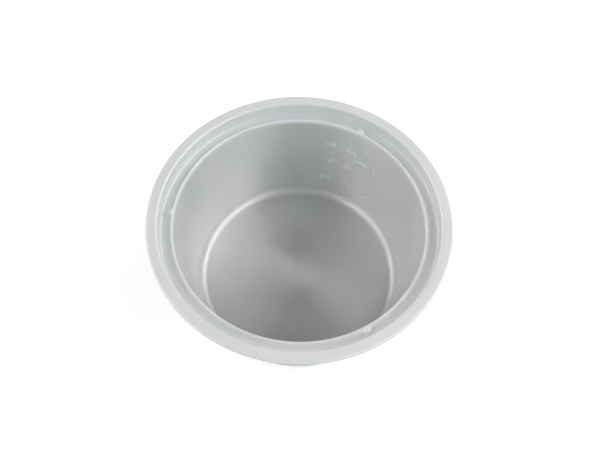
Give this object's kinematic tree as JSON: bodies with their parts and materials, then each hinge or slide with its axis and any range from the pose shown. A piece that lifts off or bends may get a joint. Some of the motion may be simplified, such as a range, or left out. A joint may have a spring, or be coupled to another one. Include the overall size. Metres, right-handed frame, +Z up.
{
  "type": "rice cooker inner pan",
  "caption": "Round inner cooking pan of a rice cooker: drawn aluminium pot with a stepped flange and lip, beaded ledge with pressed pips, non-stick lining and raised water-level marks.",
  "frame": {"origin": "centre of the underside of the base, where the pan rests", "axes": "+Z up along the pan's axis out of its mouth; -Y is the side it is looked at from, with the water-level scale at the back right"},
  "size_m": [0.24, 0.24, 0.1025],
  "materials": {
    "pan_aluminium": "satin, finely blasted",
    "pan_lining": "light grey non-stick film, low sheen"
  },
  "bodies": {
    "root": {"pot_shell": "pan_aluminium", "nonstick_lining": "pan_lining", "level_scale": "pan_lining"}
  },
  "joints": []
}
